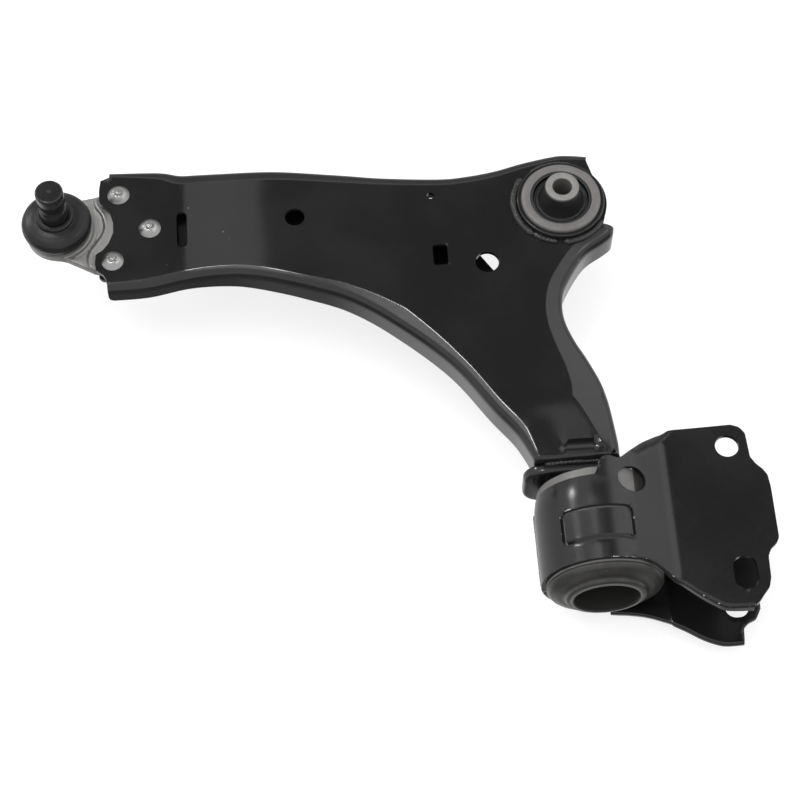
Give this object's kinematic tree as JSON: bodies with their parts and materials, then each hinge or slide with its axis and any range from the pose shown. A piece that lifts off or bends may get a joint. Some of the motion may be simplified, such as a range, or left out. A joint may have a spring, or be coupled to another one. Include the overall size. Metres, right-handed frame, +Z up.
{
  "type": "suspension control arm",
  "caption": "Pressed steel lower control arm with riveted ball joint, vertical front bush and a horizontal rear bush in a bolt-on bracket.",
  "frame": {"origin": "centre of the front bush's bolt bore, half way along its inner sleeve", "axes": "+X inboard, away from the ball joint; +Y forward, parallel to the rear bush's axis; +Z up along the front bush's bolt and the ball stud"},
  "size_m": [0.5336, 0.3995, 0.1205],
  "materials": {
    "arm_paint": "gloss black electro-coat on pressed steel",
    "bracket_paint": "satin black electro-coat on pressed steel",
    "spigot_steel": "machined steel",
    "housing_steel": "shot-blasted and zinc-flaked forging",
    "rivet_steel": "zinc-plated, dull silver",
    "seat_plastic": "moulded bearing plastic",
    "stud_black": "black phosphated steel",
    "boot_rubber": "smooth moulded rubber",
    "clip_steel": "dark spring wire",
    "bush_can_grey": "grey phosphated steel",
    "bush_rubber": "moulded rubber",
    "sleeve_steel": "turned steel, dull"
  },
  "bodies": {
    "arm": {"upper_shell": "arm_paint", "lower_plate": "arm_paint", "front_bush_tube": "arm_paint", "front_tube_weld": "arm_paint", "rear_collar": "arm_paint", "rear_spigot": "spigot_steel", "collar_weld": "arm_paint", "ball_joint_housing": "housing_steel", "ball_joint_rivets": "rivet_steel", "ball_seat": "seat_plastic", "housing_cover": "housing_steel", "boot_lower": "boot_rubber", "boot_clip_lower": "clip_steel", "front_bush_can": "bush_can_grey", "rear_bush_sleeve": "bush_can_grey", "rear_bush_rubber": "bush_rubber"},
    "front_sleeve": {"front_bush_sleeve": "sleeve_steel", "front_bush_rubber": "bush_rubber"},
    "rear_bracket": {"rear_bush_can": "bush_can_grey", "bracket_upper": "bracket_paint", "bracket_lower": "bracket_paint", "bracket_seam_weld": "bracket_paint"},
    "boot_ring": {"boot_middle": "boot_rubber"},
    "boot_collar": {"boot_upper": "boot_rubber", "boot_clip_upper": "clip_steel"},
    "ball_stud": {"ball_stud": "stud_black"}
  },
  "joints": [
    {"name": "front_sleeve_rock", "type": "hinge", "parent": "arm", "child": "front_sleeve", "pos_m": [0, 0, 0], "axis": [0, 1, 0], "range_deg": [-12, 12], "stiffness_Nm_per_rad": 60},
    {"name": "rear_bracket_twist", "type": "hinge", "parent": "arm", "child": "rear_bracket", "pos_m": [0.003, -0.265, -0.015], "axis": [0, 1, 0], "range_deg": [-20, 20], "stiffness_Nm_per_rad": 60},
    {"name": "stud_rock", "type": "hinge", "parent": "arm", "child": "boot_ring", "pos_m": [-0.382, 0.009, 0.005], "axis": [0, 1, 0], "range_deg": [-18, 18]},
    {"name": "stud_tilt", "type": "hinge", "parent": "boot_ring", "child": "boot_collar", "pos_m": [-0.382, 0.009, 0.005], "axis": [1, 0, 0], "range_deg": [-18, 18]},
    {"name": "stud_spin", "type": "hinge", "parent": "boot_collar", "child": "ball_stud", "pos_m": [-0.382, 0.009, 0.005], "axis": [0, 0, 1], "continuous": true}
  ]
}
